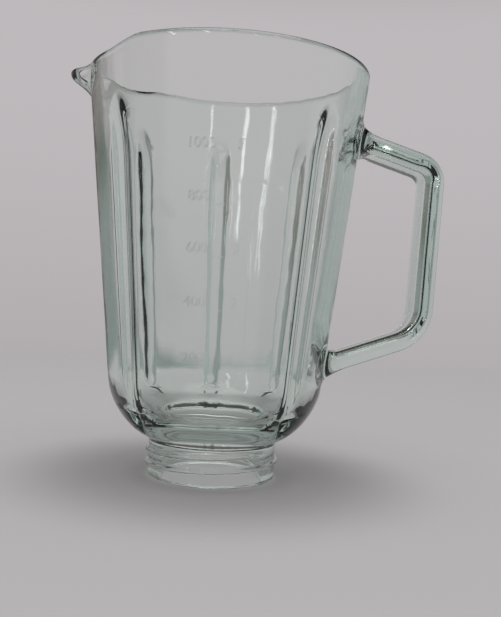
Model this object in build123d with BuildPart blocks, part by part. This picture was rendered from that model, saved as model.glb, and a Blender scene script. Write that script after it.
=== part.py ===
from build123d import *
import os
from math import cos, degrees, radians, sin, tan

# Pressed glass jar of a kitchen blender, moulded in one piece: a tapered body with a pouring
# spout, a closed handle, upright ribs inside and a short collar that is open at the bottom.
# The origin is the centre of the collar's bottom edge, with Z up, the handle at +X and the
# spout at -X. Lengths are in millimetres and angles in degrees.

# Body
height = 196.5
rim_radius = 67.5
wall = 5.0
wall_taper = 6.0
base_rise = 28.0
base_corner_radius = 32.0

# Collar, which the blade unit closes from below
neck_bore_radius = 24.5
collar_wall = 6.3
collar_height = 18.2
collar_root_radius = 2.5
collar_edge = 1.2

# Floor inside the jar
floor_edge_height = 26.0
floor_edge_radius = 2.5
floor_rise = 22.0
floor_corner_radius = 22.0

# Ribs on the inner wall: none at the handle, the spout or the plain front
rib_angles = (45, 93, 141, 219, 315)
rib_drop = 25.5
rib_run_out = 24.0
rib_top_radius = 5.4
rib_foot_radius = 3.6
rib_blend = 1.6

# Spout, towards which the lip dips
spout_overhang = 9.5
spout_dip = 3.6
spout_dip_inset = 12.0
spout_dip_run = 18.0
spout_lip_band = 5.0
spout_lip_bend = 3.0
spout_channel_band = 3.7
spout_channel_bend = 1.0
spout_keel_slope = 62.0
spout_keel_drop = 15.0
spout_tip_radius = 2.5
spout_root_radius = 26.0
spout_root_inset = 36.0
spout_blend = 7.0
spout_channel_blend = 3.0

# Handle strap, along the middle of its section
handle_width = 26.0
handle_thickness = 9.0
handle_gap = 33.3
handle_drop = 42.5
handle_foot_height = 73.6
handle_lean = 2.0
handle_top_fall = 17.0
handle_top_bend = 10.0
handle_foot_fall = 20.0
handle_foot_bend = 19.0
handle_root_blend = 5.5

# Roundings that their wall limits
lip_radius = 0.48 * wall
handle_edge_radius = 0.45 * handle_thickness

# Distance by which a form reaches past the surface that it cuts or joins
overshoot = 5.0

# Distance within which two levels count as the same
contact = 0.01


def slope(angle):
    """Run of a line at an angle, for each millimetre along the other direction."""
    return tan(radians(angle))


def wall_radius(level):
    """Outer radius of the straight wall at a level."""
    return rim_radius - (height - level) * slope(wall_taper)


def corner_with_wall(radius, level, rise, rim):
    """Point where a line that rises from (radius, level) meets the wall that ends at (rim, height)."""
    run = rim - (height - level + radius * slope(rise)) * slope(wall_taper)
    corner_radius = run / (1 - slope(rise) * slope(wall_taper))
    return corner_radius, level + (corner_radius - radius) * slope(rise)


def corner_rounding(radius, run, rise):
    """Radius of the corner between a rise and the wall, limited by the run that the rise leaves for it."""
    turn = 90 - wall_taper - rise
    return min(radius, run / cos(radians(rise)) / slope(turn / 2))


def spout_form(thickness, band, bend):
    """Rounded wedge, a thickness round the channel, carried straight down a band, then along the keel."""
    root_centre = rim_radius - spout_root_inset
    tip_centre = rim_radius + spout_overhang - wall - spout_tip_radius
    band_foot = Vector(0, 0, height - spout_dip - band)
    keel_foot = band_foot + spout_keel_drop * Vector(slope(spout_keel_slope), 0, -1)
    with BuildPart() as form:
        with BuildLine() as path:
            FilletPolyline((0, 0, height + overshoot), band_foot, keel_foot, radius=bend)
        with BuildSketch(Plane.XY.offset(height + overshoot)):
            with BuildLine():
                CenterArc((-root_centre, 0), spout_root_radius + thickness, 0, 360)
                CenterArc((-tip_centre, 0), spout_tip_radius + thickness, 0, 360)
            make_hull()
        sweep(path=path.line, normal=(0, 0, 1))
    return form.part


# One rib: a slender cone that leans with the inner wall, and whose top curves away into the wall
rib_shoulder = height - rib_drop - rib_run_out
run_out_radius = (rib_run_out**2 + rib_top_radius**2) / (2 * rib_top_radius)
rib_seat = Plane(
    origin=(wall_radius(rib_shoulder) - wall, 0, rib_shoulder),
    x_dir=(0, 1, 0),
    z_dir=(sin(radians(wall_taper)), 0, cos(radians(wall_taper))),
)
run_out_axis = Axis(rib_seat.from_local_coords((0, -run_out_radius, 0)), rib_seat.x_dir)
with BuildPart() as rib:
    with Locations(rib_seat):
        Cone(
            rib_foot_radius,
            rib_top_radius,
            rib_shoulder - floor_edge_height,
            align=(Align.CENTER, Align.CENTER, Align.MAX),
        )
    with BuildSketch(rib_seat):
        Circle(rib_top_radius)
    revolve(axis=run_out_axis, revolution_arc=degrees((rib_run_out + overshoot) / run_out_radius))

# Plunger, which presses the inside: neck bore, floor, wall, a groove for each rib, and the channel
inner_rim = rim_radius - wall
floor_corner = corner_with_wall(neck_bore_radius, floor_edge_height, floor_rise, inner_rim)
with BuildPart() as plunger:
    with BuildSketch(Plane.XZ) as inside:
        with BuildLine():
            Polyline(
                (0, -overshoot),
                (neck_bore_radius, -overshoot),
                (neck_bore_radius, floor_edge_height),
                floor_corner,
                (inner_rim + overshoot * slope(wall_taper), height + overshoot),
                (0, height + overshoot),
                close=True,
            )
        make_face()
        floor_run = floor_corner[0] - neck_bore_radius - floor_edge_radius
        floor_rounding = corner_rounding(floor_corner_radius, floor_run, floor_rise)
        fillet(inside.vertices().sort_by_distance(floor_corner)[0], radius=floor_rounding)
        floor_edge = (neck_bore_radius, floor_edge_height)
        fillet(inside.vertices().sort_by_distance(floor_edge)[0], radius=floor_edge_radius)
    revolve(axis=Axis.Z)
    for rib_angle in rib_angles:
        with Locations(Rotation(0, 0, rib_angle)):
            add(rib.part, mode=Mode.SUBTRACT)
        fillet(plunger.edges(Select.NEW), radius=rib_blend)
    add(spout_form(0, spout_channel_band, spout_channel_bend))
    channel_seam = plunger.edges(Select.NEW).filter_by(lambda edge: edge.center().Z < height + overshoot / 2)
    fillet(channel_seam, radius=spout_channel_blend)

# Space above the lip: level with the rim, then an even curve down to the dip and level past the spout
dip_end = Vector(spout_dip_inset - rim_radius, height - spout_dip)
dip_start = dip_end + Vector(spout_dip_run, spout_dip)
clear_of_jar = rim_radius + spout_overhang + overshoot
with BuildPart() as above_lip:
    with BuildSketch(Plane.XZ):
        with BuildLine():
            TangentArc(dip_start, (dip_start + dip_end) / 2, tangent=(-1, 0))
            TangentArc(dip_end, (dip_start + dip_end) / 2, tangent=(1, 0))
            Polyline(
                dip_end,
                (-clear_of_jar, height - spout_dip),
                (-clear_of_jar, height + 2 * overshoot),
                (clear_of_jar, height + 2 * overshoot),
                (clear_of_jar, height),
                dip_start,
            )
        make_face()
    extrude(amount=clear_of_jar, both=True)

# Handle strap, from inside the wall near the top round to inside the wall near the foot
handle_top = height - handle_drop
grip_top = Vector(rim_radius + handle_gap, 0, handle_top)
grip_foot = grip_top - (handle_top - handle_foot_height) * Vector(slope(handle_lean), 0, 1)
top_reach = grip_top.X - wall_radius(handle_top) + 2 * wall
foot_reach = grip_foot.X - wall_radius(handle_foot_height) + 2 * wall
with BuildPart() as handle:
    with BuildLine() as strap:
        FilletPolyline(
            grip_top + top_reach * Vector(-1, 0, slope(handle_top_fall)),
            grip_top,
            grip_foot,
            grip_foot - foot_reach * Vector(1, 0, slope(handle_foot_fall)),
            radius=[handle_top_bend, handle_foot_bend],
        )
    with BuildSketch(Plane(origin=strap.line @ 0, x_dir=(0, 1, 0), z_dir=strap.line % 0)):
        RectangleRounded(handle_width, handle_thickness, handle_edge_radius)
    sweep()

# Jar: the outer form with spout and handle blended in, pressed hollow and fire polished at the lip
collar_radius = neck_bore_radius + collar_wall
base_corner = corner_with_wall(collar_radius, collar_height, base_rise, rim_radius)
with BuildPart() as jar:
    with BuildSketch(Plane.XZ) as outside:
        with BuildLine():
            Polyline(
                (0, 0),
                (collar_radius, 0),
                (collar_radius, collar_height),
                base_corner,
                (rim_radius + overshoot * slope(wall_taper), height + overshoot),
                (0, height + overshoot),
                close=True,
            )
        make_face()
        base_run = base_corner[0] - collar_radius - collar_root_radius
        base_rounding = corner_rounding(base_corner_radius, base_run, base_rise)
        fillet(outside.vertices().sort_by_distance(base_corner)[0], radius=base_rounding)
        collar_root = (collar_radius, collar_height)
        fillet(outside.vertices().sort_by_distance(collar_root)[0], radius=collar_root_radius)
        chamfer(outside.vertices().sort_by_distance((collar_radius, 0))[0], length=collar_edge)
    revolve(axis=Axis.Z)
    add(spout_form(wall, spout_lip_band, spout_lip_bend))
    spout_crease = jar.edges(Select.NEW).filter_by(lambda edge: edge.center().Z < height + overshoot / 2)
    fillet(spout_crease, radius=spout_blend)
    add(above_lip.part, mode=Mode.SUBTRACT)
    add(handle.part)
    fillet(jar.edges(Select.NEW), radius=handle_root_blend)
    add(plunger.part, mode=Mode.SUBTRACT)
    lip = jar.faces().filter_by(lambda face: face.center().Z > height - spout_dip - contact)
    fillet(lip.edges().filter_by(Axis.Y, reverse=True), radius=lip_radius)

os.makedirs("parts", exist_ok=True)
jar.part.label = "jar"
export_step(jar.part, "parts/jar.step")
print("jar", round(jar.part.volume), "mm3, valid", jar.part.is_valid)
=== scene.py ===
# %% [markdown]
# # A pressed glass blender jar
# The CAD frame holds one solid, the whole jar. Its mesh is cut into separate facets for every CAD
# face, and glass shows each of those breaks twice, once on the surface and once refracted. So this
# lesson models the jar again as one closed, evenly flowing mesh of the same size, and lets it
# stand for the CAD node. The jar's lengths are written in millimetres and scaled to metres when
# its mesh is done. The set around it is written in metres.

# %% Load the frame
import math

import bmesh
import bpy
from mathutils import Matrix, Vector, geometry


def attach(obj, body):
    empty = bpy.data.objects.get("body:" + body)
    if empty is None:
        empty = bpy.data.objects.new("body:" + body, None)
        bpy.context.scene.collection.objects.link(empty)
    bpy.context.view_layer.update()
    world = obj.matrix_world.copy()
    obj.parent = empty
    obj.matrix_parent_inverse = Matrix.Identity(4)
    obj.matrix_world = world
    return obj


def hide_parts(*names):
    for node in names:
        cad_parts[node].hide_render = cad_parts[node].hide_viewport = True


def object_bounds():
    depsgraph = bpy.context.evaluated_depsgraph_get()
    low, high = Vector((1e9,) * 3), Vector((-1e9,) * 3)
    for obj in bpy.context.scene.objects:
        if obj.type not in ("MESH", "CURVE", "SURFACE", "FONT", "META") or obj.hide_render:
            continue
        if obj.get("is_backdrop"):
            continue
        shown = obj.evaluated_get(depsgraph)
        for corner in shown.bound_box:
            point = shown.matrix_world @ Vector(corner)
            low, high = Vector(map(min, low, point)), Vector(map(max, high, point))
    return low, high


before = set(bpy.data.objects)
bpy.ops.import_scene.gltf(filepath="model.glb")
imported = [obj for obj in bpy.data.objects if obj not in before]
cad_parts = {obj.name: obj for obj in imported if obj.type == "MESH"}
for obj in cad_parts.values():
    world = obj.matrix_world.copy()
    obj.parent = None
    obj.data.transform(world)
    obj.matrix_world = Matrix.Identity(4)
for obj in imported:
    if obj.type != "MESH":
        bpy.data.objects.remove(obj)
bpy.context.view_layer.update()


def rounded(values, digits):
    """Numbers cut to a few digits, for printing."""
    return [round(value, digits) for value in values]


# %% [markdown]
# ## The profile of the glass
# A jar is pressed between a mould and a plunger, and both are turned parts. So the glass starts as
# a profile: its corners are placed as a few vertices, the outside going up from the collar, then
# over the lip and down the inside. Rounding the corners with a vertex bevel is simpler than
# placing arc points, because the bevel only needs the length that the arc takes from each side.

# %% Corners of the profile
height = 196.5
rim_radius = 67.5
wall = 5.0
taper = math.radians(6)
bore_radius = 24.5
collar_radius = 30.8
collar_height = 18.2
floor_edge_height = 26.0
base_rise = math.radians(28)
floor_rise = math.radians(22)
far_reach = 100.0  # longer than the base and the floor


def wall_radius(level, depth=0.0):
    """Radius of the straight wall at a level, at a depth inside the outer surface."""
    return rim_radius - depth - (height - level) * math.tan(taper)


def meet_wall(start, rise, depth):
    """Where a line that rises outwards from start meets the wall at a depth."""
    far = Vector(start) + far_reach * Vector((math.cos(rise), math.sin(rise)))
    low = Vector((wall_radius(0, depth), 0))
    high = Vector((wall_radius(height, depth), height))
    return geometry.intersect_line_line_2d(start, far, low, high)


base_corner = meet_wall((collar_radius, collar_height), base_rise, 0)
floor_corner = meet_wall((bore_radius, floor_edge_height), floor_rise, wall)
print("base meets the wall at", rounded(base_corner, 1), "and the floor", rounded(floor_corner, 1))

# %% Round the corners
# Each corner: radius, level, rounding, steps in the rounding
corners = [
    (collar_radius, 0, 1.3, 3),
    (collar_radius, collar_height, 2.5, 4),
    (base_corner.x, base_corner.y, 32.0, 16),
    (rim_radius, height, 2.45, 6),
    (rim_radius - wall, height, 2.45, 6),
    (floor_corner.x, floor_corner.y, 22.0, 14),
    (bore_radius, floor_edge_height, 2.5, 5),
    (bore_radius, 0, 0.8, 2),
]
glass = bmesh.new()
profile = [glass.verts.new((radius, 0, level)) for radius, level, rounding, steps in corners]
for first, second in zip(profile, profile[1:] + profile[:1]):
    glass.edges.new((first, second))

for vert, (radius, level, rounding, steps) in zip(profile, corners):
    toward = [edge.other_vert(vert).co - vert.co for edge in vert.link_edges]
    half_turn = (math.pi - toward[0].angle(toward[1])) / 2
    bmesh.ops.bevel(
        glass,
        geom=[vert],
        offset=rounding * math.tan(half_turn),
        offset_type="OFFSET",
        segments=steps,
        profile=0.5,
        affect="VERTICES",
        material=-1,
    )
print("profile with rounded corners:", len(glass.verts), "vertices")

# %% [markdown]
# ## Rows where the detail will be
# The long straight sides need rows of vertices: close together at the thread, the spout and the
# rib tops, wide apart on plain wall. A plane that bisects the profile puts a row at each level
# that matters, and then each piece between two such levels is subdivided evenly.

# %% Rows at the levels that matter
rib_tip = 171.0
rib_shoulder = rib_tip - 24.0
settled = 176.0  # the dip of the lip starts at this level, and the rows above it are fine
handle_roots = {"top": (154.5, 176.0), "foot": (46.3, 69.3)}


def is_outer(radius, level):
    """True on the outer side of the wall."""
    return radius > wall_radius(level, wall / 2)


def add_level(level, outer):
    """Puts a row at a level on one side of the wall."""
    for edge in list(glass.edges):
        first, second = edge.verts
        middle = (first.co + second.co) / 2
        crossed = (first.co.z - level) * (second.co.z - level) < 0
        if crossed and is_outer(middle.x, middle.z) == outer:
            bmesh.ops.bisect_plane(
                glass, geom=[edge, first, second], plane_co=(0, 0, level), plane_no=(0, 0, 1)
            )


for low, high in handle_roots.values():
    add_level(low, True)
    add_level(high, True)
for level in (rib_shoulder, settled):
    add_level(level, False)
print("profile with levels:", len(glass.verts), "vertices")

# %% Rows between them
root_rows = 10
thread_rows, bore_rows = 0.26, 4.0
fine_rows, inner_rows, outer_rows = 1.0, 3.0, 5.0
near_collar = 1.0


def row_spacing(radius, level):
    """Spacing of the rows on a straight stretch whose middle is here."""
    if radius < collar_radius + near_collar and level < collar_height:
        return thread_rows if radius > collar_radius - near_collar else bore_rows
    if level > settled:
        return fine_rows
    if not is_outer(radius, level):
        return fine_rows if level > rib_shoulder else inner_rows
    for low, high in handle_roots.values():
        if low < level < high:
            return (high - low) / root_rows / math.cos(taper)
    return outer_rows


for edge in list(glass.edges):
    middle = (edge.verts[0].co + edge.verts[1].co) / 2
    cuts = round(edge.calc_length() / row_spacing(middle.x, middle.z)) - 1
    if cuts > 0:
        bmesh.ops.subdivide_edges(glass, edges=[edge], cuts=cuts)
print("profile with rows:", len(glass.verts), "vertices")

# %% [markdown]
# ## Turning the profile
# One full spin turns the profile into a closed wall of glass: outside, lip, inside, floor and bore
# in one skin. With use_merge the last column joins the first, so no seam is left.

# %% Spin
columns = 320
full_turn = 2 * math.pi
bmesh.ops.spin(
    glass,
    geom=list(glass.verts) + list(glass.edges),
    cent=(0, 0, 0),
    axis=(0, 0, 1),
    angle=full_turn,
    steps=columns,
    use_merge=True,
)
print("turned jar:", len(glass.verts), "vertices,", len(glass.faces), "faces")

# %% [markdown]
# ## The lip dips towards the spout
# The rim is level except opposite the handle, where it sinks a few millimetres to the spout, so
# that the jar pours there first. A boolean could cut the dip, but then the lip would have to be
# rounded again. Letting the top rows slide down the wall keeps the round lip that the profile
# already has.

# %% Dip of the lip
dip = 3.6
dip_start, dip_end = -37.5, -55.5
whole_dip = height - 5.0  # rows above this level sink by the whole dip


def clamped(value):
    """A number kept between 0 and 1."""
    return min(max(value, 0), 1)


def smooth_step(low, high, value):
    """From 0 at low to 1 at high, level at both ends."""
    part = clamped((value - low) / (high - low))
    return part * part * (3 - 2 * part)


for vert in glass.verts:
    towards_spout = smooth_step(dip_start, dip_end, vert.co.x)
    slide = dip * towards_spout * smooth_step(settled, whole_dip, vert.co.z)
    radius = math.hypot(vert.co.x, vert.co.y)
    narrower = 1 - slide * math.tan(taper) / radius
    vert.co = (vert.co.x * narrower, vert.co.y * narrower, vert.co.z - slide)
print("lip at the spout", round(max(v.co.z for v in glass.verts if v.co.x < dip_end), 2), "mm up")

# %% [markdown]
# ## The pouring spout
# The spout is pulled out of the lip: seen from above it is a rounded wedge, and its keel runs down
# and back into the wall. The mesh already has the columns it needs, so they are drawn together at
# the spout and each is moved out to the wedge. A soft maximum of wall and wedge makes the blend
# that hot glass has, which a boolean would leave as a sharp seam.

# %% Shape of the spout
spout_tip = 77.0
tip_radius = 2.5
wedge_root = 31.5
wedge_root_radius = 26.0
keel_slope = math.tan(math.radians(62))
# The spout's outside and its channel: depth in the wall, upright band at the lip, softness of the
# bend where the keel starts, and width of the blend into the wall
beak = {"depth": 0.0, "band": 5.0, "softness": 1.8, "blend": 8.0}
channel = {"depth": wall, "band": 3.7, "softness": 1.0, "blend": 5.0}


def wedge_radius(turn, root, tip, root_radius, end_radius):
    """Distance from the axis to the wedge, at a turn away from its middle."""
    half_angle = math.asin((root_radius - end_radius) / (tip - root))
    touch = math.atan2(end_radius * math.cos(half_angle), tip + end_radius * math.sin(half_angle))
    if abs(turn) < touch:
        beyond = math.sqrt(max(end_radius**2 - (tip * math.sin(turn)) ** 2, 0))
        return tip * math.cos(turn) + beyond
    return (tip * math.sin(half_angle) + end_radius) / math.sin(half_angle + abs(turn))


def soft_max(a, b, blend):
    """The larger of two lengths, eased where they are within a blend of each other."""
    near = max(blend - abs(a - b), 0) / blend
    return max(a, b) + near**2 * blend / 4


def spout_wall(turn, level, depth, band, softness, blend):
    """Radius of the wall with the spout, at a turn away from the spout's middle."""
    drop = height - dip - band - level
    shift = keel_slope * (drop + math.hypot(drop, softness)) / 2
    tip = spout_tip - wall - tip_radius - shift
    if tip < wedge_root:
        return wall_radius(level, depth)
    thickness = wall - depth
    wedge = wedge_radius(
        turn, wedge_root - shift, tip, wedge_root_radius + thickness, tip_radius + thickness
    )
    return soft_max(wall_radius(level, depth), wedge, blend)


print("beak at the lip", round(spout_wall(0, height - dip, **beak), 2), "mm from the axis")

# %% Pull out the spout
spout_span = math.radians(30)
spout_foot, spout_full = 160.0, 175.0
drawn_share = 0.45  # how far the columns are drawn together
for vert in glass.verts:
    radius = math.hypot(vert.co.x, vert.co.y)
    level = vert.co.z
    turn = math.atan2(-vert.co.y, -vert.co.x)
    if level < spout_foot or abs(turn) > spout_span:
        continue
    gather = smooth_step(spout_foot, spout_full, level)
    turn *= 1 - gather * drawn_share * (1 - abs(turn) / spout_span)
    inner = spout_wall(turn, level, **channel) - wall_radius(level, wall)
    outer = spout_wall(turn, level, **beak) - wall_radius(level)
    across = clamped((radius - wall_radius(level, wall)) / wall)
    radius += inner + (outer - inner) * across
    vert.co.x = -radius * math.cos(turn)
    vert.co.y = -radius * math.sin(turn)
print("spout reaches", round(-min(v.co.x for v in glass.verts), 2), "mm from the axis")

# %% [markdown]
# ## The ribs
# Upright ribs on the inside throw the food back into the blades. Each is a round bar half sunk
# into the wall. At the top it curves away into the wall, and at the bottom the curve of the floor
# buries it. A boolean would leave a sharp seam all round, so each vertex of the inner wall is
# raised to a soft maximum of bar and wall. Its columns are first drawn together, so that the steep
# flanks get as many vertices as the crown.

# %% Section of a rib
rib_top_radius = 5.4
rib_foot_radius = 3.6
rib_fillet = 1.6
run_out_radius = ((rib_tip - rib_shoulder) ** 2 + rib_top_radius**2) / (2 * rib_top_radius)


def rib_offset(part, radius, sunk):
    """Distance from the rib's middle, a part of the way from its crown to the end of its fillet."""
    foot = math.asin(min((sunk + rib_fillet) / (radius + rib_fillet), 1))
    length = (radius + rib_fillet) * (math.pi / 2 - foot)
    walked = part * length
    if walked < radius * (math.pi / 2 - foot):
        return radius * math.sin(walked / radius)
    centre = (radius + rib_fillet) * math.cos(foot)
    return centre - rib_fillet * math.sin((length - walked) / rib_fillet)


def rib_rise(offset, radius, sunk, softness):
    """Height of the rib over the wall at a distance from its middle, eased into the wall."""
    crown = math.sqrt(radius**2 - offset**2) if offset < radius else radius - offset
    return soft_max(crown - sunk, 0, softness)


print("rib tops curve away on a radius of", round(run_out_radius, 1), "mm")

# %% Raise the ribs
rib_angles = [math.radians(a) for a in (45, 93, 141, 219, 315)]
rib_sector = math.radians(22.5)
rib_share = 0.72  # of the sector's columns, the part that goes to the rib
rib_softness = 2.2
floor_softness = 3.0  # the most that the rising floor adds to it
deepest = 0.97  # a bar sunk deeper than this part of its radius has no section left
let_go, free = 0.6, 1.05  # between these depths the columns spread out again
rib_floor = bore_radius + 3.0
rib_ceiling = rib_tip + 5.0
for vert in glass.verts:
    radius = math.hypot(vert.co.x, vert.co.y)
    level = vert.co.z
    if is_outer(radius, level) or radius < rib_floor or level > rib_ceiling:
        continue
    azimuth = math.atan2(vert.co.y, vert.co.x)
    turn = min(((azimuth - a + math.pi) % full_turn - math.pi for a in rib_angles), key=abs)
    if abs(turn) >= rib_sector:
        continue
    lowered = clamped((rib_shoulder - level) / (rib_shoulder - floor_edge_height))
    rib_radius = rib_top_radius + (rib_foot_radius - rib_top_radius) * lowered
    above = max(level - rib_shoulder, 0) / math.cos(taper)
    buried = max((wall_radius(level, wall) - radius) * math.cos(taper), 0)
    sunk = run_out_radius - math.sqrt(run_out_radius**2 - above**2) + buried
    part = abs(turn) / rib_sector / rib_share
    offset = rib_offset(min(part, 1), rib_radius, min(sunk, deepest * rib_radius))
    if part > 1:
        offset += (rib_sector * radius - offset) * (part - 1) * rib_share / (1 - rib_share)
    gather = 1 - smooth_step(let_go, free, sunk / rib_radius)
    new_turn = turn + (math.copysign(offset / radius, turn) - turn) * gather
    softness = rib_softness + min(buried, floor_softness)
    radius -= rib_rise(abs(new_turn) * radius, rib_radius, sunk, softness)
    vert.co.x = radius * math.cos(azimuth - turn + new_turn)
    vert.co.y = radius * math.sin(azimuth - turn + new_turn)
print(len(rib_angles), "ribs, tips at", rib_tip, "mm")

# %% [markdown]
# ## The thread on the collar
# A screw ring holds the blade unit to the collar, so the collar has a coarse round thread of less
# than two turns. The rows there are close together, and lifting them along a helix keeps the
# thread part of the same skin. The flank below is the steeper one, because the ring pulls against
# it, and the two ends run out softly, as a mould cuts them.

# %% Thread
thread_pitch = 6.3
thread_turns = 1.85
thread_start = math.radians(20)
thread_low = 3.4
thread_height = 1.6
thread_run_out = 0.6  # radians
flank_below, flank_above = 0.8, 1.7
half_crest = 0.25
on_collar = 0.05  # a vertex is on the collar if its radius is this near
for vert in glass.verts:
    radius = math.hypot(vert.co.x, vert.co.y)
    if abs(radius - collar_radius) > on_collar or vert.co.z > collar_height:
        continue
    along = (math.atan2(vert.co.y, vert.co.x) - thread_start) % full_turn
    ridge = 0.0
    for turn_number in range(math.ceil(thread_turns)):
        walked = along + full_turn * turn_number
        to_go = thread_turns * full_turn - walked
        end_fade = smooth_step(0, thread_run_out, walked) * smooth_step(0, thread_run_out, to_go)
        away = vert.co.z - thread_low - thread_pitch * walked / full_turn
        if away > 0:
            crest = 1 - smooth_step(half_crest, flank_above, away)
        else:
            crest = clamped(1 + (away + half_crest) / flank_below)
        ridge = max(ridge, end_fade * crest)
    vert.co.x *= 1 + ridge * thread_height / radius
    vert.co.y *= 1 + ridge * thread_height / radius
print("thread crest radius", round(collar_radius + thread_height, 2), "mm")

# %% [markdown]
# ## The handle
# The handle is a broad strap of glass that leaves the wall near the top and returns near the foot.
# Extruding it from the wall's own faces keeps the glass one body: two patches of wall are opened,
# the rim of the upper one is extruded ring by ring along the strap's line, and the last ring is
# welded to the rim of the lower one. A bezier from the wall, over the point where the plain strap
# would meet it, to the first ring gives the generous root that pressed glass needs.

# %% Section of the strap
strap_width = 26.0
strap_thickness = 9.0
strap_edge = 4.05
flat_width = strap_width / 2 - strap_edge
flat_side = strap_thickness / 2 - strap_edge
root_columns = 16


def strap_side(flat, reach, count):
    """(along, out) of the vertices of one side, from the middle of one corner to the next."""
    length = 2 * (flat + strap_edge * math.pi / 4)
    side = []
    for step in range(count):
        walked = length * step / count - length / 2
        along, out = walked, reach
        if abs(walked) > flat:
            angle = (abs(walked) - flat) / strap_edge
            along = math.copysign(flat + strap_edge * math.sin(angle), walked)
            out = reach - strap_edge * (1 - math.cos(angle))
        side.append((along, out))
    return side


# (across, out) of each vertex, counted from the corner at -Y on the outer face
broad = strap_side(flat_width, strap_thickness / 2, 2 * root_columns)
narrow = strap_side(flat_side, strap_width / 2, root_rows)
section = [
    *broad,
    *((out, -along) for along, out in narrow),
    *((-along, -out) for along, out in broad),
    *((-out, along) for along, out in narrow),
]
print("strap of", len(section), "vertices round")

# %% Line of the strap
grip_top = Vector((100.78, 0, 154.0))
grip_foot = Vector((97.98, 0, 73.6))
top_fall = math.radians(17)
foot_fall = math.radians(20)
top_radius, foot_radius = 10.0, 19.0
root_length = 8.5
to_grip = Vector((math.cos(top_fall), 0, -math.sin(top_fall)))
to_wall = Vector((-math.cos(foot_fall), 0, -math.sin(foot_fall)))
down = (grip_foot - grip_top).normalized()
wall_steps = 6  # enough to find the wall to a rounding error


def bend(corner, arriving, leaving, radius, steps):
    """Points round a bend, with the direction at each."""
    turn = arriving.angle(leaving)
    side = (leaving - arriving * arriving.dot(leaving)).normalized()
    start = corner - arriving * radius * math.tan(turn / 2)
    points = []
    for step in range(steps + 1):
        angle = turn * step / steps
        point = start + arriving * radius * math.sin(angle) + side * radius * (1 - math.cos(angle))
        points.append((point, arriving * math.cos(angle) + side * math.sin(angle)))
    return points


def straight(first, last, direction, steps):
    """Points between two ends of a straight stretch, without the ends."""
    return [(first.lerp(last, step / steps), direction) for step in range(1, steps)]


def on_wall(point, direction):
    """Where a line through a point meets the outer wall."""
    for step in range(wall_steps):
        out = Vector((point.x, point.y, 0)).normalized()
        short = wall_radius(point.z) - math.hypot(point.x, point.y)
        point = point + direction * short / direction.dot(out)
    return point


top_hit = on_wall(grip_top, to_grip)
foot_hit = on_wall(grip_foot, to_wall)
top_bend = bend(grip_top, to_grip, down, top_radius, steps=10)
foot_bend = bend(grip_foot, down, to_wall, foot_radius, steps=12)
first_ring = top_hit + to_grip * root_length
last_ring = foot_hit - to_wall * root_length
line = [(first_ring, to_grip)]
line += straight(first_ring, top_bend[0][0], to_grip, steps=5) + top_bend
line += straight(top_bend[-1][0], foot_bend[0][0], down, steps=12) + foot_bend
line += straight(foot_bend[-1][0], last_ring, to_wall, steps=6) + [(last_ring, to_wall)]
print(len(line), "rings, from", rounded(top_hit, 1), "to", rounded(foot_hit, 1))

# %% Open the wall at the two roots
column_angle = full_turn / columns
slack = 0.1  # part of a column or a row


def open_root(span, outer_face_up):
    """Opens the wall over a span of levels and gives the rim's vertices in the section's order."""
    patch = {}
    for vert in glass.verts:
        column = math.atan2(vert.co.y, vert.co.x) / column_angle
        row = (vert.co.z - span[0]) / (span[1] - span[0]) * root_rows
        if abs(column) < root_columns + slack and -slack < row < root_rows + slack:
            if is_outer(math.hypot(vert.co.x, vert.co.y), vert.co.z):
                patch[round(column), round(row)] = vert
    inside = set(patch.values())
    faces = [face for face in glass.faces if all(vert in inside for vert in face.verts)]
    far = root_columns
    first, last, step = (root_rows, 0, -1) if outer_face_up else (0, root_rows, 1)
    rim = [patch[column, first] for column in range(-far, far)]
    rim += [patch[far, row] for row in range(first, last, step)]
    rim += [patch[column, last] for column in range(far, -far, -1)]
    rim += [patch[-far, row] for row in range(last, first, -step)]
    bmesh.ops.delete(glass, geom=faces, context="FACES")
    return rim


top_rim = open_root(handle_roots["top"], True)
foot_rim = open_root(handle_roots["foot"], False)
print("opened", len(top_rim), "and", len(foot_rim), "edges")

# %% Blend the roots into the wall
root_blend = 5.5


def outward(direction):
    """The way that the strap's outer face looks."""
    return Vector((-direction.z, 0, direction.x))


def strap_ring(point, direction):
    """The section's vertices at a point of the line."""
    out = outward(direction)
    return [point + Vector((0, across, 0)) + out * away for across, away in section]


def root_curve(ring, direction):
    """For each vertex of a ring: where its blend starts on the wall, and where the plain strap
    meets the wall."""
    starts, meets = [], []
    for vertex, (across, away) in zip(ring, section):
        meet = on_wall(vertex, direction)
        round_across = math.copysign(max(abs(across) - flat_width, 0), across)
        round_away = math.copysign(max(abs(away) - flat_side, 0), away)
        spread = Vector((0, round_across, 0)) + outward(direction) * round_away
        blended = meet + spread.normalized() * root_blend
        starts.append(on_wall(blended, Vector((1, 0, 0))))
        meets.append(meet)
    return starts, meets


top_ring, foot_ring = strap_ring(*line[0]), strap_ring(*line[-1])
top_starts, top_meets = root_curve(top_ring, to_grip)
foot_starts, foot_meets = root_curve(foot_ring, to_wall)
for vert, start in zip(top_rim + foot_rim, top_starts + foot_starts):
    vert.co = start
root_levels = [min(vert.co.z for vert in rim) for rim in (foot_rim, top_rim)]
print("the roots start", rounded(root_levels, 1), "mm up")

# %% Extrude the strap ring by ring
blend_steps = 7
blend_parts = [step / blend_steps for step in range(blend_steps)]


def bezier_ring(starts, meets, ends, part):
    """A ring at a part of the way along the blends between two rings."""
    return [a.lerp(m, part).lerp(m.lerp(b, part), part) for a, m, b in zip(starts, meets, ends)]


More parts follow.
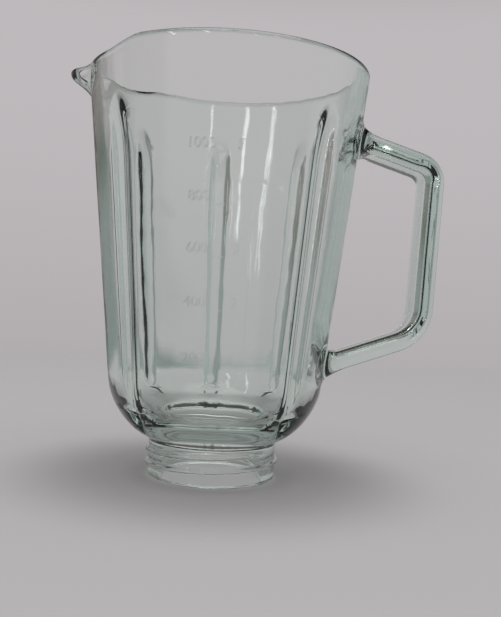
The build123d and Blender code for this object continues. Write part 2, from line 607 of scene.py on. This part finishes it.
def extrude_ring(loop, places):
    """Extrudes a closed loop of vertices and puts the new vertices at their places."""
    number = {vert: index for index, vert in enumerate(loop)}
    edges = [glass.edges.get((a, b)) for a, b in zip(loop, loop[1:] + loop[:1])]
    made = bmesh.ops.extrude_edge_only(glass, edges=edges)["geom"]
    grown = [None] * len(loop)
    for vert in (item for item in made if isinstance(item, bmesh.types.BMVert)):
        base = next(e.other_vert(vert) for e in vert.link_edges if e.other_vert(vert) in number)
        grown[number[base]] = vert
    for vert, place in zip(grown, places):
        vert.co = place
    return grown


def count_open(shape):
    """How many edges don't have a face on both sides."""
    return len([edge for edge in shape.edges if not edge.is_manifold])


loop = top_rim
for part in blend_parts[1:]:
    loop = extrude_ring(loop, bezier_ring(top_starts, top_meets, top_ring, part))
for point, direction in line:
    loop = extrude_ring(loop, strap_ring(point, direction))
for part in reversed(blend_parts):
    loop = extrude_ring(loop, bezier_ring(foot_starts, foot_meets, foot_ring, part))
bmesh.ops.weld_verts(glass, targetmap=dict(zip(loop, foot_rim)))
bmesh.ops.recalc_face_normals(glass, faces=glass.faces)
print("jar with handle:", len(glass.faces), "faces,", count_open(glass), "open edges")

# %% Jar object
millimetre = 0.001
cubic_centimetres = 1e6  # in a cubic metre


def to_metres(shape):
    """Scales a shape that was made in millimetres."""
    bmesh.ops.scale(shape, vec=(millimetre, millimetre, millimetre), verts=shape.verts)


def add_object(name, shape):
    """Makes an object of a shape and puts it in the scene."""
    mesh = bpy.data.meshes.new(name)
    shape.to_mesh(mesh)
    shape.free()
    made = bpy.data.objects.new(name, mesh)
    bpy.context.scene.collection.objects.link(made)
    return made


to_metres(glass)
for face in glass.faces:
    face.smooth = True
print("volume", round(glass.calc_volume(signed=True) * cubic_centimetres, 1), "cm3")
jar = add_object("jar_glass", glass)
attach(jar, "root")
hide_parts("jar")

# %% [markdown]
# ## Measuring marks
# The mould has numbers cut into its front, so they stand a little proud of the glass: millilitres
# in one column and cups in the other, with a short line under each pair. They could be painted on
# with a bump, but a bump has no silhouette. So extruded text is turned into a mesh and wrapped
# round the cone.

# %% A number and a line
marks = bmesh.new()
mark_size = 6.2
mark_depth = 0.3  # of the flat text, before it is wrapped
mark_rise, mark_sink = 0.5, 0.2
line_size = (4.0, 0.7, 0.6)


def wrap(verts, column, level):
    """Wraps flat vertices round the front of the wall, at a column and a level."""
    for vert in verts:
        across, up, out = vert.co
        radius = wall_radius(level + up) + (mark_rise if out > 0 else -mark_sink)
        angle = (column + across) / wall_radius(level) - math.pi / 2
        vert.co = (radius * math.cos(angle), radius * math.sin(angle), level + up)


def add_number(body, column, level):
    """Adds a raised number to the marks."""
    font = bpy.data.curves.new("number", "FONT")
    font.body = body
    font.size = mark_size
    font.align_x = "CENTER"
    font.extrude = mark_depth
    font.resolution_u = 4
    text = bpy.data.objects.new("number", font)
    number = bpy.data.meshes.new_from_object(text)
    before = len(marks.verts)
    marks.from_mesh(number)
    marks.verts.ensure_lookup_table()
    wrap(marks.verts[before:], column, level)
    bpy.data.objects.remove(text)
    bpy.data.meshes.remove(number)
    bpy.data.curves.remove(font)


def add_line(column, level):
    """Adds a raised line to the marks."""
    bar = bmesh.ops.create_cube(marks, size=1)["verts"]
    bmesh.ops.scale(marks, vec=line_size, verts=bar)
    wrap(bar, column, level)


print("marks stand", mark_rise, "mm proud")

# %% Marks up the front
millilitre_column, cup_column, line_column = -10.5, 6.0, -1.0
line_drop = 1.2
same_place = 0.001
mark_levels = {
    59.0: ("200", "1"),
    83.0: ("400", "2"),
    105.5: ("600", "3"),
    127.0: ("800", "4"),
    148.5: ("1000", "5"),
}
for level, (millilitres, cups) in mark_levels.items():
    add_number(millilitres, millilitre_column, level)
    add_number(cups, cup_column, level)
    add_line(line_column, level - line_drop)
bmesh.ops.remove_doubles(marks, verts=marks.verts, dist=same_place)
bmesh.ops.recalc_face_normals(marks, faces=marks.faces)
print("marks:", len(marks.faces), "faces,", count_open(marks), "open edges")
to_metres(marks)
measuring_marks = add_object("measuring_marks", marks)
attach(measuring_marks, "root")

# %% [markdown]
# ## Glass
# The material is clear soda glass. Its colour comes from its depth: a volume that absorbs a little
# red leaves thin wall almost clear and turns the thick base, the ribs and the handle green.
# Pressed glass is never quite flat, so a soft bump bends what is seen through it, and a faint
# smear roughens it. Node maths is written through a small class, so that an expression reads like
# arithmetic.

# %% Node maths


class Value:
    """A socket that can be used in arithmetic; each operation adds a Math node."""

    def __init__(self, tree, socket):
        self.tree = tree
        self.socket = socket

    def maths(self, operation, first, second):
        return self.tree.node("ShaderNodeMath", {"operation": operation}, {0: first, 1: second})

    def __add__(self, other):
        return self.maths("ADD", self, other)

    __radd__ = __add__

    def __sub__(self, other):
        return self.maths("SUBTRACT", self, other)

    def __rsub__(self, other):
        return self.maths("SUBTRACT", other, self)

    def __mul__(self, other):
        return self.maths("MULTIPLY", self, other)

    __rmul__ = __mul__

    def larger(self, other):
        return self.maths("MAXIMUM", self, other)


class Tree:
    """A node tree that makes its nodes through one method."""

    def __init__(self, owner):
        owner.use_nodes = True
        self.tree = owner.node_tree
        self.tree.nodes.clear()

    def node(self, kind, settings, inputs, output=0):
        """Adds a node with its settings and with values or links in its sockets."""
        made = self.tree.nodes.new(kind)
        for name, value in settings.items():
            setattr(made, name, value)
        for name, value in inputs.items():
            if isinstance(value, Value):
                self.tree.links.new(value.socket, made.inputs[name])
            else:
                made.inputs[name].default_value = value
        return Value(self, made.outputs[output]) if made.outputs else None


# %% Glass material
glass_material = bpy.data.materials.new("pressed_glass")
tree = Tree(glass_material)
place = tree.node("ShaderNodeTexCoord", {}, {}, "Object")
stretched = tree.node("ShaderNodeMapping", {}, {"Vector": place, "Scale": (1, 1, 0.45)})
swell = tree.node("ShaderNodeTexNoise", {}, {"Vector": stretched, "Scale": 42.0, "Detail": 1.0})
ripple = tree.node("ShaderNodeTexNoise", {}, {"Vector": stretched, "Scale": 150.0, "Detail": 1.0})
relief = swell * 0.8 + ripple * 0.2
flow = tree.node(
    "ShaderNodeBump", {}, {"Strength": 0.12, "Distance": 0.002, "Height": relief}, "Normal"
)
smear = tree.node("ShaderNodeTexNoise", {}, {"Vector": place, "Scale": 30.0, "Detail": 4.0})
clear_glass = tree.node(
    "ShaderNodeBsdfPrincipled",
    {},
    {
        "Base Color": (0.97, 0.99, 0.98, 1),
        "Roughness": smear * 0.05,
        "IOR": 1.52,
        "Transmission Weight": 1.0,
        "Normal": flow,
    },
)
depth_tint = tree.node(
    "ShaderNodeVolumeAbsorption", {}, {"Color": (0.40, 0.78, 0.62, 1), "Density": 10.0}
)
tree.node("ShaderNodeOutputMaterial", {}, {"Surface": clear_glass, "Volume": depth_tint})
for piece in (jar, measuring_marks):
    piece.data.materials.append(glass_material)
print("material", glass_material.name, "with", len(glass_material.node_tree.nodes), "nodes")

# %% [markdown]
# ## World and floor
# Glass shows what is around it, so the set is what makes it look right. The world is pale grey at
# the height of the eye and dark overhead, and a floor fades into it. The floor glows for the
# camera and for the glass, less so in a ring under the body outside the bore: a painted shadow,
# where a standing jar keeps the light away. An image of a real room would do the same, but it
# would bring its own patterns into the glass.

# %% World
pale = (0.515, 0.485, 0.50, 1)
low_pale = (0.42, 0.40, 0.41, 1)
dusk = (0.055, 0.047, 0.038, 1)
light_grey = (0.5, 0.5, 0.5, 1)
# The rise of a ray, as a sine, over which each tone gives way to the next
horizon = (-0.25, 0.25)
nightfall = (0.3, 0.55)


def seen_directly(tree):
    """1 for a ray from the camera, a reflection or glass, and 0 for light on a surface."""
    camera, glossy, through = (
        tree.node("ShaderNodeLightPath", {}, {}, name)
        for name in ("Is Camera Ray", "Is Glossy Ray", "Is Transmission Ray")
    )
    return camera.larger(glossy).larger(through)


def eased(tree, value, low, high):
    """From 0 where a value is low to 1 where it is high, level at both ends."""
    ends = {"Value": value, "From Min": low, "From Max": high}
    return tree.node("ShaderNodeMapRange", {"interpolation_type": "SMOOTHSTEP"}, ends)


def mix_colours(tree, factor, first, second):
    """A mix of two colours; the Mix node's sockets 6 and 7, and its output 2, are the colours."""
    return tree.node("ShaderNodeMix", {"data_type": "RGBA"}, {0: factor, 6: first, 7: second}, 2)


def mix_shaders(tree, factor, first, second):
    """A mix of two shaders."""
    return tree.node("ShaderNodeMixShader", {}, {0: factor, 1: first, 2: second})


world = bpy.data.worlds.new("studio")
bpy.context.scene.world = world
tree = Tree(world)
lighting = tree.node("ShaderNodeBackground", {}, {"Color": light_grey, "Strength": 1.0})
direction = tree.node("ShaderNodeTexCoord", {}, {}, "Generated")
rise = tree.node("ShaderNodeSeparateXYZ", {}, {0: direction}, "Z")
sky = mix_colours(tree, eased(tree, rise, *horizon), low_pale, pale)
sky = mix_colours(tree, eased(tree, rise, *nightfall), sky, dusk)
backdrop = tree.node("ShaderNodeBackground", {}, {"Color": sky, "Strength": 1.0})
shown = mix_shaders(tree, seen_directly(tree), lighting, backdrop)
tree.node("ShaderNodeOutputWorld", {}, {"Surface": shown})
print("world", world.name, "with", len(world.node_tree.nodes), "nodes")

# %% Floor
floor_radius = 1.6
floor_grey = (0.24, 0.235, 0.235, 1)
open_strength, shaded_strength = 0.6, 0.25
# Distances from the axis over which the bore ends, the body ends and the floor fades
bore_edge = (0.025, 0.035)
body_edge = (0.05, 0.12)
floor_fade = (0.25, 1.0)
disc = bmesh.new()
bmesh.ops.create_circle(disc, cap_ends=True, radius=floor_radius, segments=96)
floor = add_object("floor", disc)
floor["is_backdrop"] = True
floor_paint = bpy.data.materials.new("floor_paint")
tree = Tree(floor_paint)
place = tree.node("ShaderNodeTexCoord", {}, {}, "Object")
reach = tree.node("ShaderNodeVectorMath", {"operation": "LENGTH"}, {0: place}, "Value")
# Painted shadow: the floor's glow is dimmed in a ring between the bore and the edge of the body
painted_shadow_under_body = eased(tree, reach, *bore_edge) * (1 - eased(tree, reach, *body_edge))
open_glow = tree.node("ShaderNodeEmission", {}, {"Color": low_pale, "Strength": open_strength})
shaded_glow = tree.node("ShaderNodeEmission", {}, {"Color": low_pale, "Strength": shaded_strength})
glow = mix_shaders(tree, painted_shadow_under_body, open_glow, shaded_glow)
paint = tree.node("ShaderNodeBsdfDiffuse", {}, {"Color": floor_grey})
glowing = tree.node("ShaderNodeAddShader", {}, {0: paint, 1: glow})
paint = mix_shaders(tree, seen_directly(tree), paint, glowing)
nothing = tree.node("ShaderNodeBsdfTransparent", {}, {})
paint = mix_shaders(tree, eased(tree, reach, *floor_fade), paint, nothing)
tree.node("ShaderNodeOutputMaterial", {}, {"Surface": paint})
floor.data.materials.append(floor_paint)
print("floor", rounded(floor.dimensions, 2), "m, with", len(floor_paint.node_tree.nodes), "nodes")

# %% [markdown]
# ## Lamps
# One broad lamp overhead lights the set. Three narrow ones stand for windows, and each draws an
# upright streak on the front of the glass. A streak leans the other way than its lamp, because the
# wall mirrors it.

# %% Lamps
jar_middle = Vector((0, 0, 0.1))


def soft_lamp(name, place, width, tall, power, lean=0.0):
    """A rectangular lamp, leaning to one side, that looks at the jar, unseen by the camera."""
    light = bpy.data.lights.new(name, "AREA")
    light.shape = "RECTANGLE"
    light.size = width
    light.size_y = tall
    light.energy = power
    lamp = bpy.data.objects.new(name, light)
    lamp.location = place
    facing = (jar_middle - Vector(place)).to_track_quat("-Z", "Y").to_matrix()
    lamp.rotation_euler = (facing @ Matrix.Rotation(math.radians(lean), 3, "Z")).to_euler()
    lamp.visible_camera = False
    bpy.context.scene.collection.objects.link(lamp)


soft_lamp("top_lamp", (0.1, -0.2, 1.3), width=1.2, tall=1.2, power=8.0)
soft_lamp("window_far_left", (-0.69, -0.64, 0.6), width=0.05, tall=0.60, power=0.54, lean=20)
soft_lamp("window_left", (-0.31, -0.90, 0.6), width=0.06, tall=0.40, power=0.34, lean=15)
soft_lamp("window_right", (0.28, -0.91, 0.6), width=0.03, tall=0.35, power=0.11)

# %% [markdown]
# ## Cards
# Soft cards outside the picture, dark, brown and green, stand for the rest of the room, as
# photographers use them to draw the edges of clear glass. Each is a grid whose paint thins out to
# nothing at its edge, so that no hard outline shows in the glass.

# %% Paint of a card


def card_paint(name, colour):
    """Matt paint that thins out towards the edges of a card."""
    paint = bpy.data.materials.new(name)
    tree = Tree(paint)
    matt = tree.node("ShaderNodeBsdfDiffuse", {}, {"Color": colour})
    across = tree.node("ShaderNodeAttribute", {"attribute_name": "cover"}, {}, "Fac")
    clear = tree.node("ShaderNodeBsdfTransparent", {}, {})
    faded = mix_shaders(tree, eased(tree, across, 0, 1), clear, matt)
    tree.node("ShaderNodeOutputMaterial", {}, {"Surface": faded})
    return paint


def add_card(name, shape, colour, cover):
    """Makes a card of a shape, seen by the glass but not by the camera, and hiding no light."""
    layer = shape.verts.layers.float.new("cover")
    for vert in shape.verts:
        vert[layer] = 0.0 if vert.is_boundary else cover
    card = add_object(name, shape)
    card.visible_camera = False
    card.visible_diffuse = False
    card.visible_shadow = False
    card.data.materials.append(card_paint(name, colour))
    card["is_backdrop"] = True


# %% Shapes of the cards
upright = Matrix.Rotation(math.radians(90), 3, "X")
card_lift = 0.002  # off the floor


def flat_card(width, length, rows):
    """A flat card round the origin."""
    card = bmesh.new()
    bmesh.ops.create_grid(card, x_segments=5, y_segments=rows, size=0.5)
    bmesh.ops.scale(card, vec=(width, length, 1), verts=card.verts)
    return card


def turned(card, azimuth):
    """Turns a card about the jar's axis, to an azimuth from +Y."""
    turn = Matrix.Rotation(math.radians(-azimuth), 3, "Z")
    bmesh.ops.rotate(card, cent=(0, 0, 0), matrix=turn, verts=card.verts)
    return card


def standing_card(azimuth, distance, width, low, high):
    """An upright card between two levels."""
    card = flat_card(width, high - low, rows=5)
    bmesh.ops.rotate(card, cent=(0, 0, 0), matrix=upright, verts=card.verts)
    bmesh.ops.translate(card, vec=(0, distance, (low + high) / 2), verts=card.verts)
    return turned(card, azimuth)


def folded_card(azimuth, near, distance, width, high):
    """A card that lies on the floor from near to distance and is folded up from there."""
    length = distance - near + high
    card = flat_card(width, length, rows=8)
    bmesh.ops.translate(card, vec=(0, near + length / 2, card_lift), verts=card.verts)
    beyond = [vert for vert in card.verts if vert.co.y > distance]
    bmesh.ops.rotate(card, cent=(0, distance, card_lift), matrix=upright, verts=beyond)
    return turned(card, azimuth)


left = folded_card(azimuth=-108, near=0.2, distance=0.8, width=0.8, high=1.1)
behind_left = standing_card(azimuth=-36, distance=0.9, width=0.8, low=0.12, high=0.75)
floor_left = folded_card(azimuth=-38, near=0.3, distance=0.9, width=0.9, high=0.35)
behind_right = folded_card(azimuth=42, near=0.3, distance=0.9, width=1.0, high=0.7)
ceiling = bmesh.new()
bmesh.ops.create_grid(ceiling, x_segments=6, y_segments=6, size=0.9)
bmesh.ops.translate(ceiling, vec=(0, 0, 1.1), verts=ceiling.verts)
print("the ceiling has", len(ceiling.faces), "faces, a folded card", len(left.faces))

# %% Place the cards
black = (0.035, 0.026, 0.018, 1)
brown = (0.10, 0.065, 0.035, 1)
bottle_green = (0.03, 0.14, 0.095, 1)
sea_green = (0.10, 0.33, 0.27, 1)
add_card("card_left", left, black, cover=0.65)
add_card("card_brown", behind_left, brown, cover=0.55)
add_card("card_green", floor_left, bottle_green, cover=0.5)
add_card("card_right", behind_right, sea_green, cover=0.34)
add_card("card_ceiling", ceiling, black, cover=0.3)

# %% [markdown]
# ## Camera
# The photograph was taken from a little below the middle of the jar, at arm's length, with the
# camera tilted slightly. The numbers come from fitting the rim, the collar and the handle to the
# picture.

# %% Camera
eye = Vector((0, -0.3942, 0.0904))
yaw, pitch, roll = 0.0393, 0.0209, 0.0507
focal_pixels = 806.5
image_height = 617  # the longer side, which the lens is measured against
ahead = Vector(
    (math.cos(pitch) * math.sin(yaw), math.cos(pitch) * math.cos(yaw), -math.sin(pitch))
)
level_right = Vector((math.cos(yaw), -math.sin(yaw), 0))
level_up = level_right.cross(ahead)
right = math.cos(roll) * level_right + math.sin(roll) * level_up
up = math.cos(roll) * level_up - math.sin(roll) * level_right
lens = bpy.data.cameras.new("camera")
lens.sensor_width = 36.0
lens.lens = lens.sensor_width * focal_pixels / image_height
camera = bpy.data.objects.new("camera", lens)
turn = Matrix((right, up, -ahead)).transposed()
camera.matrix_world = Matrix.Translation(eye) @ turn.to_4x4()
bpy.context.scene.collection.objects.link(camera)
bpy.context.scene.camera = camera
bpy.context.scene.view_settings.view_transform = "Standard"
print("camera at", rounded(camera.matrix_world.translation, 3), "lens", round(lens.lens, 1), "mm")

# %% [markdown]
# ## Sizes
# The box round everything that renders, apart from the floor and the cards. The visual
# model has to stay inside the CAD model's box.

# %% Sizes and finish
low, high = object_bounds()
print("visual box", rounded(low, 4), rounded(high, 4))
